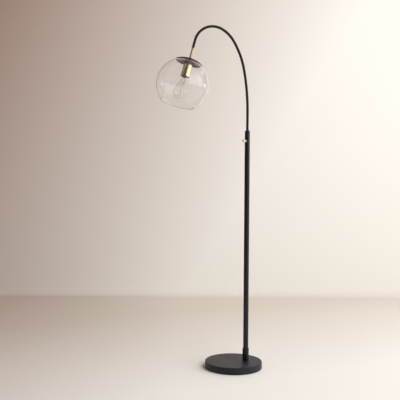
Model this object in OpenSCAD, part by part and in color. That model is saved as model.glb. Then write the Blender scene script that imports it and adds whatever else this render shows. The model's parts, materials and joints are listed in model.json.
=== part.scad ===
// Arc floor lamp: a round weighted base, an off-centre pole, an arm that slides and
// swings in the pole and arcs over to one side, and a tilted head with a clear glass
// globe, a brass socket cover and a clear bulb.
// Millimetres. The origin is the centre of the base's foot plane, on the floor, +Z is up,
// and the arm reaches towards -X.

/* [Base] */
// Diameter of the round base
base_d = 276; // [262:1:290]
// Height of the base above the floor
base_h = 33; // [33:0.5:36]
// Radius of the rounded top edge of the base
base_edge = 3; // [2:0.5:4]
// Distance from the base's centre to the pole's axis
pole_x = 63; // [58:1:68]

/* [Pole] */
// Outside diameter of the pole
pole_d = 25; // [24:0.5:27]
// Wall thickness of the pole
pole_wall = 1.5; // [1.2:0.1:1.8]
// Height of the pole's top above the floor
pole_top = 1151; // [1120:1:1160]
// Height of the joint between the pole's two sections
pole_joint = 590; // [560:1:620]
// Outside diameter of the sleeve at the pole's foot
sleeve_d = 31; // [30:0.5:34]
// Length of the sleeve at the pole's foot
sleeve_h = 58; // [50:1:65]

/* [Arm] */
// Outside diameter of the arm
arm_d = 12.7; // [12:0.1:13]
// Bore of the arm
arm_bore = 9.9; // [9.4:0.1:10]
// Height at which the arm starts to curve
arc_z = 1241; // [1235:1:1260]
// Radii of the arm's arcs, from the pole to the head
arc_r = [1080, 380, 150, 95]; // [60:1:1100]
// Angles that the arm turns through in those arcs, in degrees
arc_turn = [11, 22, 29.5, 102]; // [8:0.5:106]
// Straight length at the arm's end
arm_tip = 42; // [38:1:60]
// Height of the arm's lower end inside the pole
arm_tail = 770; // [740:1:800]

/* [Lock] */
// Depth of the lock knob's axis below the pole's top
knob_drop = 51; // [45:1:56]
// Direction in which the lock knob points, in degrees from +X
knob_azimuth = 217; // [200:1:240]
// Diameter of the lock knob
knob_d = 12; // [11:0.5:14]
// Length of the lock knob
knob_len = 21; // [16:1:24]

/* [Head] */
// Outside diameter of the glass globe
globe_d = 252; // [248:1:256]
// Wall thickness of the globe
globe_wall = 1.8; // [1.5:0.1:2.5]
// Diameter of the globe's bottom opening
mouth_d = 164; // [150:1:170]
// Distance from the globe's centre to the arm's end
head_drop = 182; // [172:1:190]
// Diameter of the stem between the arm and the cap
stem_d = 10; // [9.6:0.1:11]
// Diameter of the domed cap's rim
cap_d = 131; // [125:1:140]
// Diameter of the brass socket cover
cover_d = 43; // [42:0.5:46]
// Height of the socket cover's lower edge above the globe's centre
cover_low = 40; // [37:0.5:43]

/* [Bulb] */
// Largest diameter of the bulb
bulb_d = 67; // [60:1:70]
// Distance from the globe's centre down to the bulb's tip
bulb_tip = 70; // [64:1:76]

/* [Hidden] */
$fn = 96;

// Clearance that a cutting tool runs past a face
cut = 1;

// Base
base_r = base_d / 2;
pad_t = 2;
sheet_t = 1.5;
plate_top = pad_t + sheet_t;
weight_r = base_r - 8;
weight_top = 26;
cover_under = base_h - sheet_t;
plate_screw_r = 2;
plate_screw_ring = base_r - 26;
inlet_z = 13;
inlet_r = 3.6;
grommet_r = 7;
grommet_flange_r = 9;
block_y = 88;
block_size = [24, 18, 11];
block_top = 19;
block_pocket = [40, 38];
lead_r = 2.5;
pocket_r = 17.5;
pocket_top = 20;
stud_r = 8;
stud_bore_r = 4.5;
stud_low = 10;
stud_top = 56;

// Pole
pole_r = pole_d / 2;
pole_in = pole_r - pole_wall;
shoulder_h = 7;
shoulder_z = pole_top - shoulder_h;
bush_spigot = 60;
coupler_half = 30;
arm_r = arm_d / 2;
fit_r = 0.08;
slide_r = arm_r + fit_r;
guide_low = arm_tail + 6;
guide_h = 20;

// Lock
knob_z = pole_top - knob_drop;
boss_r = 8.5;
boss_neck_r = 4.4;
boss_out = pole_r + 4;
screw_r = 3;
pad_in = arm_r + 0.35;
screw_in = pad_in + 2.6;
knob_in = boss_out + 0.5;

// Head
turned = [for (i = 0, t = 90; i <= len(arc_r); t = t + (i < len(arc_r) ? arc_turn[i] : 0),
  i = i + 1) t];
head_turn = turned[len(arc_r)];
tilt = 270 - head_turn;
globe_r = globe_d / 2;
globe_in = globe_r - globe_wall;
cap_t = 1.5;
cap_out = globe_r + 1 + cap_t;
cap_rim_w = sqrt(cap_out * cap_out - cap_d * cap_d / 4);
neck_r = 16;
nipple_r = 4;
nipple_bore_r = 3;
cover_r = cover_d / 2;
cover_t = 1.2;
cover_top = 118.5;
holder_r = 18.5;
holder_low = cover_low + 1;
holder_split = 90;
shell_r = 13.35;

// Bulb
bulb_r = bulb_d / 2;
bulb_neck_r = 12.5;
bulb_neck_w = 36;
bulb_glass_t = 0.9;
base_shell_r = 13;

// A point at which arc number i of the arm starts: [x, z]
function arc_centre(i) =
  arc_start(i) + arc_r[i] * [-sin(turned[i]), cos(turned[i])];
function arc_start(i) = i == 0 ? [pole_x, arc_z]
  : arc_centre(i - 1) + arc_r[i - 1] * [sin(turned[i]), -cos(turned[i])];
tip_start = arc_start(len(arc_r));
tip_way = [cos(head_turn), sin(head_turn)];
globe_at = tip_start + (arm_tip + head_drop) * tip_way;

// Radius of the bulb's outside at height w above the globe's centre
function bulb_profile(w) =
  let (low = bulb_r - bulb_tip, t = (w - low) / (bulb_neck_w - low))
  bulb_neck_r + (bulb_r - bulb_neck_r) * (1 + cos(180 * min(1, t))) / 2;

module at_pole(z = 0) translate([pole_x, 0, z]) children();

// Local Z runs out along the lock knob's axis, from the pole's axis
module at_knob() at_pole(knob_z) rotate([0, 0, knob_azimuth]) rotate([0, 90, 0]) children();

// Local origin is the globe's centre, and local Z runs up the stem
module at_head(w = 0)
  translate([globe_at[0], 0, globe_at[1]]) rotate([0, tilt, 0]) translate([0, 0, w]) children();

module ring(r_out, r_in, h) difference() {
  cylinder(r = r_out, h = h);
  translate([0, 0, -cut]) cylinder(r = r_in, h = h + 2 * cut);
}

module rounded_disc(r, h, edge) rotate_extrude() {
  square([r - edge, h]);
  square([r, h - edge]);
  translate([r - edge, h - edge]) intersection() {
    circle(r = edge);
    square(edge);
  }
}

module hex(across, h) cylinder(r = across / 2 / cos(30), h = h, $fn = 6);

module spherical_shell(r_out, r_in) difference() {
  sphere(r = r_out);
  sphere(r = r_in);
}

// A tube or rod along the arm's route, from height z_low to length tip past the last arc.
// Every other length is thinner by a hair and runs a little way into the walls of its
// neighbours, so that the lengths join as one solid.
module arm_route(r_out, r_in, z_low, tip) {
  hair = 0.03;
  lap = 1;
  module section(thin) difference() {
    circle(r = r_out - thin);
    if (r_in > 0) circle(r = r_in + thin);
  }
  at_pole(z_low) linear_extrude(arc_z - z_low) section(0);
  for (i = [0 : len(arc_r) - 1]) {
    c = arc_centre(i);
    thin = i % 2 == 0 ? hair : 0;
    more = thin > 0 ? lap / arc_r[i] * 180 / PI : 0;
    translate([c[0], 0, c[1]]) rotate([90, 0, 0])
      rotate_extrude(angle = arc_turn[i] + 2 * more, start = turned[i] - 90 - more)
        translate([arc_r[i], 0]) section(thin);
  }
  translate([tip_start[0], 0, tip_start[1]]) rotate([0, 90 - head_turn, 0])
    translate([0, 0, -lap]) linear_extrude(tip + lap) section(hair);
}

function unit(v) = v / norm(v);
// The direction nearest to v that is square to way
function square_to(way, v) = unit(v - (v * way) * way);
// Points on a curve that rounds the corners of a route
function rounded(route, steps = 5) = let (last = len(route) - 1) concat(
  [route[0]],
  [for (i = [1 : last - 1], k = [0 : steps - 1]) let (t = k / steps)
    (1 - t) * (1 - t) * (route[i - 1] + route[i]) / 2 + 2 * t * (1 - t) * route[i]
      + t * t * (route[i] + route[i + 1]) / 2],
  [(route[last - 1] + route[last]) / 2, route[last]]
);

// A wire of n sides and radius r along a curve
module wire(points, r, n = 10) {
  last = len(points) - 1;
  ways = [for (i = [0 : last]) unit(points[min(last, i + 1)] - points[max(0, i - 1)])];
  sides = [for (i = 0, s = square_to(ways[0], [0, 0, 1]); i <= last;
    i = i + 1, s = square_to(ways[min(i, last)], s)) s];
  polyhedron(
    [for (i = [0 : last], k = [0 : n - 1]) points[i]
      + r * (cos(360 * k / n) * sides[i] + sin(360 * k / n) * cross(ways[i], sides[i]))],
    concat(
      [[for (k = [0 : n - 1]) k]],
      [for (i = [0 : last - 1], k = [0 : n - 1]) let (next = (k + 1) % n)
        [i * n + k, (i + 1) * n + k, (i + 1) * n + next, i * n + next]],
      [[for (k = [n - 1 : -1 : 0]) last * n + k]]
    )
  );
}

// ---- base -----------------------------------------------------------------------------

module floor_pad() color("#2b2b2d") cylinder(r = base_r - 5, h = pad_t);

module plate_screw_places() for (a = [45 : 90 : 315])
  rotate([0, 0, a]) translate([plate_screw_ring, 0, pad_t]) children();

module bottom_plate() color("#5d5f62") difference() {
  translate([0, 0, pad_t]) cylinder(r = base_r - sheet_t - 1, h = sheet_t);
  plate_screw_places() translate([0, 0, -0.1])
    cylinder(r1 = 3.8, r2 = 2.1, h = sheet_t + 0.2);
}

module bottom_plate_screws() color("#8a8c90") plate_screw_places() difference() {
  union() {
    cylinder(r1 = 3.6, r2 = plate_screw_r, h = sheet_t);
    cylinder(r = plate_screw_r, h = 14);
  }
  translate([0, 0, -cut]) hex(2.4, cut + 1);
}

// The way for the lead from the terminal block's pocket to the pole's pocket
module lead_channel() {
  start_y = block_y - 22;
  width = 12;
  back = 12;
  translate([0, start_y, pad_t]) rotate([0, 0, -atan2(start_y, pole_x)])
    translate([-back, -width / 2, 0]) cube([norm([pole_x, start_y]) + back, width, 9]);
}

module base_weight() color("#3c3d40") difference() {
  union() {
    translate([0, 0, plate_top]) cylinder(r = weight_r, h = weight_top - plate_top);
    at_pole(weight_top - cut) cylinder(r = 32, h = cover_under - weight_top + cut);
    for (a = [90, 180, 270]) rotate([0, 0, a])
      translate([100, 0, weight_top - cut]) cylinder(r = 9, h = cover_under - weight_top + cut);
  }
  at_pole(pad_t) cylinder(r = pocket_r, h = pocket_top - pad_t);
  at_pole(pad_t) cylinder(r = stud_r + 0.3, h = base_h);
  plate_screw_places() cylinder(r = plate_screw_r + 0.05, h = 15);
  translate([-block_pocket[0] / 2, block_y - block_pocket[1] / 2, pad_t])
    cube([block_pocket[0], block_pocket[1], block_top - pad_t]);
  translate([-11, block_y, pad_t]) cube([22, base_r, 21]);
  lead_channel();
  block_screw_places() translate([0, 0, -cut]) cylinder(r = 1.55, h = 7);
}

module base_cover() color("#1d1e20") difference() {
  translate([0, 0, pad_t]) rounded_disc(base_r, base_h - pad_t, base_edge);
  translate([0, 0, pad_t - cut])
    rounded_disc(base_r - sheet_t, cover_under - pad_t + cut, base_edge - sheet_t);
  at_pole() cylinder(r = stud_r + 0.3, h = base_h + cut);
  translate([0, base_r + 5, inlet_z]) rotate([90, 0, 0]) cylinder(r = grommet_r, h = 20);
}

module cord_grommet() color("#151516") difference() {
  union() {
    intersection() {
      translate([0, base_r + 1.8, inlet_z]) rotate([90, 0, 0])
        cylinder(r = grommet_r, h = 8);
      cylinder(r = base_r + 5, h = base_h);
    }
    difference() {
      translate([0, base_r + 1.8, inlet_z]) rotate([90, 0, 0])
        cylinder(r = grommet_flange_r, h = 4);
      cylinder(r = base_r, h = base_h);
    }
    intersection() {
      translate([0, base_r - 2.2, inlet_z]) rotate([90, 0, 0])
        cylinder(r = grommet_flange_r, h = 4);
      difference() {
        cylinder(r = base_r - sheet_t, h = base_h);
        translate([0, 0, -cut]) cylinder(r = base_r - 6.2, h = base_h + 2 * cut);
      }
    }
  }
  translate([0, base_r + 5, inlet_z]) rotate([90, 0, 0]) cylinder(r = inlet_r, h = 20);
}

module block_screw_places() for (x = [-8, 8])
  translate([x, block_y, block_top]) children();

module terminal_block() color("#d9d6cc") difference() {
  translate([-block_size[0] / 2, block_y - block_size[1] / 2, block_top - block_size[2]])
    cube(block_size);
  block_screw_places() translate([0, 0, -block_size[2] - cut])
    cylinder(r = 1.6, h = block_size[2] + 2 * cut);
  for (x = [-3, 3]) translate([x, block_y + 20, block_top - 5]) rotate([90, 0, 0])
    cylinder(r = 1.5, h = 40);
}

module terminal_block_screws() color("#b9bbbd") block_screw_places() {
  translate([0, 0, -block_size[2] - 1.6]) cylinder(r = 2.8, h = 1.6);
  translate([0, 0, -block_size[2]]) cylinder(r = 1.5, h = block_size[2] + 5);
}

module base_lead() color("#222224") wire(rounded([
  [0, block_y - block_size[1] / 2 - 0.1, 12], [0, 75, 12], [0, 71, 7.5], [1, 64, 6.8],
  [8, 57, 6.8], [pole_x - 8, 9, 6.8], [pole_x, 0, 7], [pole_x, 0, 22]
]), lead_r);

// ---- pole -----------------------------------------------------------------------------

module hollow_stud() color("#9a9c9f")
  at_pole(stud_low) ring(stud_r, stud_bore_r, stud_top - stud_low);

module stud_washer() color("#9a9c9f")
  at_pole(pocket_top - sheet_t) ring(15, stud_r + 0.2, sheet_t);

module stud_nut() color("#8f9194") at_pole(stud_low + 0.5) difference() {
  hex(24, 8);
  translate([0, 0, -cut]) cylinder(r = stud_r, h = 10);
}

module pole_plug() color("#77797c") at_pole(base_h) ring(pole_in, stud_r, 25);

module pole_sleeve() color("#1b1c1e") difference() {
  at_pole(base_h) {
    cylinder(r = sleeve_d / 2, h = sleeve_h - 1);
    translate([0, 0, sleeve_h - 1])
      cylinder(r1 = sleeve_d / 2, r2 = sleeve_d / 2 - 1, h = 1);
  }
  at_pole(base_h - cut) cylinder(r = pole_r, h = sleeve_h + 2 * cut);
  at_pole(base_h + 20) rotate([-90, 0, 0]) cylinder(r = 2, h = sleeve_d);
}

module sleeve_set_screw() color("#3a3b3d") at_pole(base_h + 20) rotate([-90, 0, 0])
  difference() {
    translate([0, 0, pole_r + 0.3]) cylinder(r = 2, h = sleeve_d / 2 - pole_r - 0.5);
    translate([0, 0, sleeve_d / 2 - 1.8]) hex(2, 4);
  }

// A length of the pole with a small chamfer at its joint end
module pole_tube(z_low, z_high, joint_low) difference() {
  bevel = 0.4;
  at_pole(z_low) {
    if (joint_low) cylinder(r1 = pole_r - bevel, r2 = pole_r, h = bevel);
    translate([0, 0, joint_low ? bevel : 0])
      cylinder(r = pole_r, h = z_high - z_low - bevel);
    if (!joint_low) translate([0, 0, z_high - z_low - bevel])
      cylinder(r1 = pole_r, r2 = pole_r - bevel, h = bevel);
  }
  at_pole(z_low - cut) cylinder(r = pole_in, h = z_high - z_low + 2 * cut);
}

module pole_lower() color("#1b1c1e") pole_tube(base_h, pole_joint, false);

module pole_coupler() color("#86888b")
  at_pole(pole_joint - coupler_half) ring(pole_in, pole_in - 2.5, 2 * coupler_half);

module pole_upper() color("#1b1c1e") difference() {
  pole_tube(pole_joint, shoulder_z, true);
  at_knob() cylinder(r = boss_neck_r, h = 20);
}

module pole_top_bush() color("#18191b") difference() {
  at_pole(shoulder_z) {
    rounded_disc(pole_r, shoulder_h, 4);
    translate([0, 0, -bush_spigot]) cylinder(r = pole_in, h = bush_spigot);
  }
  at_pole(shoulder_z - bush_spigot - cut)
    cylinder(r = slide_r, h = bush_spigot + shoulder_h + 2 * cut);
  at_knob() cylinder(r = boss_neck_r, h = 20);
}

module lock_boss() color("#18191b") at_knob() difference() {
  union() {
    difference() {
      translate([0, 0, pole_in - 4]) cylinder(r = boss_r, h = boss_out - pole_in + 4);
      rotate([0, 90, 0]) cylinder(r = pole_r, h = 30, center = true);
    }
    translate([0, 0, screw_in - 1]) cylinder(r = boss_neck_r, h = boss_out - screw_in);
  }
  cylinder(r = screw_r + fit_r, h = 30);
}

module pole_lead() color("#222224") at_pole(22.2) cylinder(r = lead_r, h = arm_tail - 22.5);

// ---- arm ------------------------------------------------------------------------------

module lower_guide() color("#e6e2d8") at_pole(guide_low) ring(pole_in - fit_r, slide_r, guide_h);

module arm_tube() color("#151618") arm_route(arm_r, arm_bore / 2, arm_tail, arm_tip);

module guide_rings() color("#a7a9ac")
  for (z = [guide_low - 2.3, guide_low + guide_h + 0.3]) at_pole(z) ring(8.6, arm_r, 2);

module arm_end_insert() color("#c9a766") at_head(head_drop) difference() {
  union() {
    cylinder(r = arm_bore / 2, h = 16);
    translate([0, 0, -16]) cylinder(r = nipple_r, h = 16);
  }
  translate([0, 0, -16 - cut]) cylinder(r = nipple_bore_r, h = 32 + 2 * cut);
}

module arm_lead() color("#222224") arm_route(lead_r, 0, arm_tail, arm_tip + head_drop - 84);

// ---- head -----------------------------------------------------------------------------

collar_low = cap_out - 0.05;
collar_h = 6;

module stem() color("#c8a560") at_head(collar_low + collar_h)
  ring(stem_d / 2, nipple_r, head_drop - collar_low - collar_h);

module stem_collar() color("#a07f3f") at_head(collar_low) difference() {
  union() {
    cylinder(r1 = 6, r2 = 6.6, h = 1);
    translate([0, 0, 1]) cylinder(r = 6.6, h = collar_h - 2);
    translate([0, 0, collar_h - 1]) cylinder(r1 = 6.6, r2 = 6, h = 1);
  }
  translate([0, 0, -cut]) cylinder(r = nipple_r, h = collar_h + 2 * cut);
}

module shade_cap() color("#17181a") at_head() difference() {
  intersection() {
    spherical_shell(cap_out, cap_out - cap_t);
    translate([0, 0, cap_rim_w]) cylinder(r = cap_d, h = cap_out);
  }
  cylinder(r = nipple_r + 0.05, h = 2 * cap_out);
}

// A band of a spherical shell about the stem's axis
module shell_band(r_out, r_in, out, hole) intersection() {
  spherical_shell(r_out, r_in);
  translate([0, 0, cut]) ring(out, hole, 2 * r_out);
}

module upper_gasket() color("#d8d8d2") at_head()
  shell_band(globe_r + 1, globe_r, 30, neck_r + 0.5);

module globe_shade() color([0.85, 0.9, 0.9, 0.35]) at_head() difference() {
  spherical_shell(globe_r, globe_in);
  cylinder(r = neck_r, h = 2 * globe_r);
  translate([0, 0, -3 * globe_r - sqrt(globe_r * globe_r - mouth_d * mouth_d / 4)])
    cylinder(r = 2 * globe_r, h = 3 * globe_r);
}

module lower_gasket() color("#d8d8d2") at_head()
  shell_band(globe_in, globe_in - 1, 21, neck_r + 0.5);

module shade_retainer() color("#6c6e71") at_head(cover_top) difference() {
  edge_r = 20.5;
  edge_h = floor(20 * (sqrt(pow(globe_in - 1, 2) - edge_r * edge_r) - cover_top)) / 20;
  union() {
    cylinder(r = edge_r, h = edge_h);
    translate([0, 0, edge_h]) cylinder(r1 = edge_r, r2 = 8, h = 1.5);
  }
  translate([0, 0, -cut]) cylinder(r = nipple_r + 0.05, h = 20);
}

module socket_cover() color("#d0ad68") at_head() difference() {
  union() {
    translate([0, 0, cover_low]) cylinder(r = cover_r, h = cover_top - cover_low - 1);
    translate([0, 0, cover_top - 1]) cylinder(r1 = cover_r, r2 = cover_r - 1, h = 1);
    translate([0, 0, cover_low]) cylinder(r = cover_r + 0.7, h = 2.2);
  }
  translate([0, 0, cover_low - cut])
    cylinder(r = cover_r - cover_t, h = cover_top - cover_low - cover_t + cut);
  translate([0, 0, cover_top - 5]) cylinder(r = nipple_r + 0.05, h = 10);
}

module head_nipple() color("#b9b7b0") at_head(98) ring(nipple_r, nipple_bore_r, 54);

module cover_nut() color("#b08d4c") at_head(cover_top - cover_t - 4.2) difference() {
  hex(13, 4.2);
  translate([0, 0, -cut]) cylinder(r = nipple_r, h = 6.2);
}

module lampholder_cap() color("#1c1c1d") at_head(holder_split) difference() {
  union() {
    cylinder(r = holder_r, h = 9);
    translate([0, 0, 9]) cylinder(r1 = holder_r, r2 = 9, h = 5);
    cylinder(r = 8, h = 20);
  }
  translate([0, 0, -cut]) cylinder(r = 15.5, h = 8 + cut);
  cylinder(r = nipple_r, h = 21);
}

module holder_wire_places() for (x = [-9, 9]) translate([x, 0, 70]) children();

module lampholder_body() color("#1c1c1d") at_head() difference() {
  translate([0, 0, holder_low]) cylinder(r = holder_r, h = holder_split - holder_low);
  translate([0, 0, holder_low - cut]) cylinder(r = shell_r + 0.6, h = 66 - holder_low + cut);
  translate([0, 0, 70]) cylinder(r = 15.5, h = 30);
  holder_wire_places() translate([0, 0, -5]) cylinder(r = 1.5, h = 10);
}

module lampholder_screws() color("#c9a766") at_head() holder_wire_places() {
  translate([0, 0, -3.9]) cylinder(r = 1.5, h = 4);
  cylinder(r = 3, h = 2);
}

module screw_shell() color("#c9a766") at_head(holder_low + 1) ring(shell_r + 0.55, shell_r, 64 - holder_low);

module centre_contact() color("#c2a262") at_head() {
  translate([-10, -3, 65.2]) cube([7, 6, 0.7]);
  translate([-3.7, -3, 63.5]) cube([0.7, 6, 2.4]);
  translate([-3.7, -3, 63.5]) cube([7.4, 6, 0.7]);
}

// ---- lock -----------------------------------------------------------------------------

module lock_pad() color("#c9a766") at_knob() translate([0, 0, pad_in]) cylinder(r = 2.6, h = 2.5);

module lock_screw() color("#c9a766") at_knob()
  translate([0, 0, screw_in]) cylinder(r = screw_r, h = knob_in + 10 - screw_in);

module lock_knob() color("#d4b878") at_knob() translate([0, 0, knob_in]) difference() {
  union() {
    cylinder(r1 = knob_d / 2 - 0.8, r2 = knob_d / 2, h = 0.8);
    translate([0, 0, 0.8]) cylinder(r = knob_d / 2, h = knob_len - 1.6);
    translate([0, 0, knob_len - 0.8]) cylinder(r1 = knob_d / 2, r2 = knob_d / 2 - 0.8, h = 0.8);
  }
  translate([0, 0, -cut]) cylinder(r = screw_r, h = 10 + cut);
}

// ---- bulb -----------------------------------------------------------------------------

module bulb_base() color("#c4a468") at_head(bulb_neck_w) difference() {
  union() {
    cylinder(r = base_shell_r, h = 21);
    translate([0, 0, 21]) cylinder(r1 = base_shell_r, r2 = 9, h = 3);
  }
  translate([0, 0, -cut]) cylinder(r = base_shell_r - 0.4, h = 22);
  cylinder(r = 6, h = 30);
}

module bulb_insulator() color("#121213") at_head(bulb_neck_w + 24) {
  cylinder(r1 = 9, r2 = 5, h = 2.2);
  translate([0, 0, -2.5]) cylinder(r = 6, h = 2.5);
}

module bulb_contact() color("#b9b7b0") at_head(bulb_neck_w + 26.2) cylinder(r1 = 4.6, r2 = 4, h = 0.8);

// The solid inside the bulb's outline, set in by t
module bulb_solid(t, top) {
  low = bulb_r - bulb_tip;
  steps = 28;
  rotate_extrude() polygon(concat(
    [[0, low]],
    [for (i = [0 : steps]) let (w = low + (bulb_neck_w - low) * i / steps)
      [bulb_profile(w) - t, w]],
    [[bulb_neck_r - t, top], [0, top]]
  ));
  translate([0, 0, low]) difference() {
    sphere(r = bulb_r - t);
    cylinder(r = 2 * bulb_r, h = 2 * bulb_r);
  }
}

module bulb_glass() color([0.9, 0.93, 0.93, 0.35]) at_head() difference() {
  bulb_solid(0, bulb_neck_w + 7);
  bulb_solid(bulb_glass_t, bulb_neck_w + 7 + cut);
}

module bulb_stem() color([0.88, 0.92, 0.92, 0.5]) at_head() {
  translate([0, 0, 41]) cylinder(r1 = 9, r2 = 11.5, h = 2);
  translate([0, 0, 6]) cylinder(r1 = 2.6, r2 = 5, h = 35);
  translate([0, 0, -12]) cylinder(r = 1.6, h = 18);
}

module bulb_filaments() color("#e8dba8") at_head() for (a = [45 : 90 : 315])
  rotate([0, 0, a]) translate([4, 0, -8]) rotate([0, 168, 0]) cylinder(r = 1.4, h = 42);

floor_pad();
bottom_plate();
bottom_plate_screws();
base_weight();
base_cover();
cord_grommet();
terminal_block();
terminal_block_screws();
base_lead();
hollow_stud();
stud_washer();
stud_nut();
pole_plug();
pole_sleeve();
sleeve_set_screw();
pole_lower();
pole_coupler();
pole_upper();
pole_top_bush();
lock_boss();
pole_lead();
lower_guide();
arm_tube();
guide_rings();
arm_end_insert();
arm_lead();
stem();
stem_collar();
shade_cap();
upper_gasket();
globe_shade();
lower_gasket();
shade_retainer();
socket_cover();
head_nipple();
cover_nut();
lampholder_cap();
lampholder_body();
lampholder_screws();
screw_shell();
centre_contact();
lock_pad();
lock_screw();
lock_knob();
bulb_base();
bulb_insulator();
bulb_contact();
bulb_glass();
bulb_stem();
bulb_filaments();
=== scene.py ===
"""Looks of the arc floor lamp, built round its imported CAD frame.

Lengths are in millimetres and go through MM, because Blender works in metres. The lights, and
the places and noise scales in the materials, are in metres.
The lamp stands on the floor at the origin, its pole off the base's centre towards +X, and its
arm reaches towards -X. A piece turned on a lathe is drawn in its own axes: POLE for what stands
on the pole's axis, KNOB along the lock's axis, and HEAD for the tilted head, whose origin is the
globe's centre and whose Z runs up the stem.
"""
import json
import math

import bmesh
import bpy
from mathutils import Matrix, Vector


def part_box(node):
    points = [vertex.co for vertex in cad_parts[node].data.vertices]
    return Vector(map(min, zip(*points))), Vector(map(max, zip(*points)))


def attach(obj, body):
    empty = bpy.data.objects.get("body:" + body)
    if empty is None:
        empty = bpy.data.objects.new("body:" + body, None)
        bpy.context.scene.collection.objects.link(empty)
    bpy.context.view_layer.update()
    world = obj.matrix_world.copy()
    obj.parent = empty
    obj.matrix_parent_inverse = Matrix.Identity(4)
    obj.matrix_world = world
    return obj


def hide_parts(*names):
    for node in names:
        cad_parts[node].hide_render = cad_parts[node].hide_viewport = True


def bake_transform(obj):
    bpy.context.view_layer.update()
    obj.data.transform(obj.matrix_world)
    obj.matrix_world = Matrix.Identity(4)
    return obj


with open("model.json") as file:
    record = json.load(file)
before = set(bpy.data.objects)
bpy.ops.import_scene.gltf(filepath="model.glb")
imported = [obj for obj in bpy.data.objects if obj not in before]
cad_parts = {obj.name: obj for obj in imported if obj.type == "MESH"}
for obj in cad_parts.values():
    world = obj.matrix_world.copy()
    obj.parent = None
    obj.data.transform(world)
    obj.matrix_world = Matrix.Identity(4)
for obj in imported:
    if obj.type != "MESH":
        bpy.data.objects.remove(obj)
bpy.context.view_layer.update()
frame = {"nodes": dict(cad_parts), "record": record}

MM = 0.001
TAU = 2 * math.pi
TINY = 1e-6


# ---- places taken from the frame ---------------------------------------------------------

def low(node):
    """A node's lowest corner at rest, in metres."""
    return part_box(node)[0]


def high(node):
    """A node's highest corner at rest, in metres."""
    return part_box(node)[1]


def joint(name):
    return next(j for j in frame["record"]["behaviour"]["joints"] if j["name"] == name)


POLE_R = (high("pole_lower")[0] - low("pole_lower")[0]) / 2 / MM
POLE_X = (high("pole_lower")[0] + low("pole_lower")[0]) / 2 / MM
BASE_R = high("base_cover")[0] / MM
BASE_TOP = high("base_cover")[2] / MM
JOINT_Z = high("pole_lower")[2] / MM
SHOULDER_Z = high("pole_upper")[2] / MM
POLE_TOP = high("pole_top_bush")[2] / MM
SLEEVE_TOP = high("pole_sleeve")[2] / MM
ARM_TAIL = low("arm_tube")[2] / MM
GLOBE_R = (high("globe_shade")[1] - low("globe_shade")[1]) / 2 / MM

stem_way = -Vector(joint("bulb_release")["axis"])
TILT = math.atan2(stem_way.x, stem_way.z)
knob_way = Vector(joint("lock_pad_slide")["axis"])
KNOB_TURN = math.atan2(knob_way.y, knob_way.x)
KNOB_Z = (low("lock_knob")[2] + high("lock_knob")[2]) / 2 / MM


def move(x, y, z):
    return Matrix.Translation(Vector((x, y, z)) * MM)


POLE = move(POLE_X, 0, 0)
KNOB = (move(POLE_X, 0, KNOB_Z) @ Matrix.Rotation(KNOB_TURN, 4, "Z")
        @ Matrix.Rotation(math.pi / 2, 4, "Y"))
GLOBE_AT = (low("globe_shade")[0] / MM + GLOBE_R, high("globe_shade")[2] / MM - GLOBE_R)
HEAD = move(GLOBE_AT[0], 0, GLOBE_AT[1]) @ Matrix.Rotation(TILT, 4, "Y")

# The sizes that a node's box doesn't give are named here and in each section below.
# The arm's route: straight up the pole, then four arcs, then a straight end on the stem's axis
ARC_Z = 1241
ARC_R = (1080, 380, 150, 95)
ARC_TURN = (11, 22, 29.5, 102)
ARM_TIP = 42
ARM_R = 6.35
ARM_BORE_R = 4.95
# How far up the stem's axis the arm's end is from the globe's centre
ARM_END_W = 182


# ---- mesh tools ---------------------------------------------------------------------------

# Angle between two faces, in degrees, above which the edge between them stays sharp
SHARP = 32
# Above 50, large faces count for more than small ones in the evened normals
NORMAL_WEIGHT = 60
# Half the angle of a corner that is too flat to round, and the most of a side that one takes
FLAT_CORNER = math.radians(88)
SIDE_SHARE = 0.49
# Rings of a wire's domed end: how far out and how wide, as shares of its radius
DOME = [(out, math.sqrt(1 - out * out)) for out in (0.5, 0.87)]
# How far a cutter runs past the faces that it cuts
PAST = 5


def rounded(corners, steps=5, closed=True):
    """Points (r, z) along an outline whose corners (r, z, radius) are rounded to their radius."""
    out = []
    count = len(corners)
    for i, (r, z, radius) in enumerate(corners):
        here = Vector((r, z))
        if radius <= 0 or (not closed and i in (0, count - 1)):
            out.append((r, z))
            continue
        back = Vector(corners[i - 1][:2]) - here
        on = Vector(corners[(i + 1) % count][:2]) - here
        half = back.angle(on) / 2
        if half > FLAT_CORNER:
            out.append((r, z))
            continue
        reach = min(radius / math.tan(half), SIDE_SHARE * back.length, SIDE_SHARE * on.length)
        back.normalize()
        on.normalize()
        centre = here + (back + on).normalized() * math.hypot(reach, reach * math.tan(half))
        start = here + back * reach - centre
        end = here + on * reach - centre
        sweep = start.angle_signed(end)
        for k in range(steps + 1):
            spoke = start.copy()
            spoke.rotate(Matrix.Rotation(-sweep * k / steps, 2))
            out.append(tuple(centre + spoke))
    return out


def arc(radius, start, end, steps):
    """Points (r, z) on a circle about the origin, from one angle above the equator to another."""
    angles = [start + (end - start) * k / steps for k in range(steps + 1)]
    return [(radius * math.cos(a), radius * math.sin(a)) for a in angles]


def split(outline, length):
    """The outline with more points, so that no side is longer than length."""
    out = []
    for i, a in enumerate(outline):
        b = outline[(i + 1) % len(outline)]
        parts = max(1, math.ceil(math.dist(a, b) / length))
        out += [(a[0] + (b[0] - a[0]) * k / parts, a[1] + (b[1] - a[1]) * k / parts)
                for k in range(parts)]
    return out


def circle(r, z, turns):
    """Points round the Z axis."""
    angles = [TAU * k / turns for k in range(turns)]
    return [(r * math.cos(a), r * math.sin(a), z) for a in angles]


def band(first, second, turns):
    """The faces between two rings of points that start at these numbers."""
    return [(first + k, second + k, second + (k + 1) % turns, first + (k + 1) % turns)
            for k in range(turns)]


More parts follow.
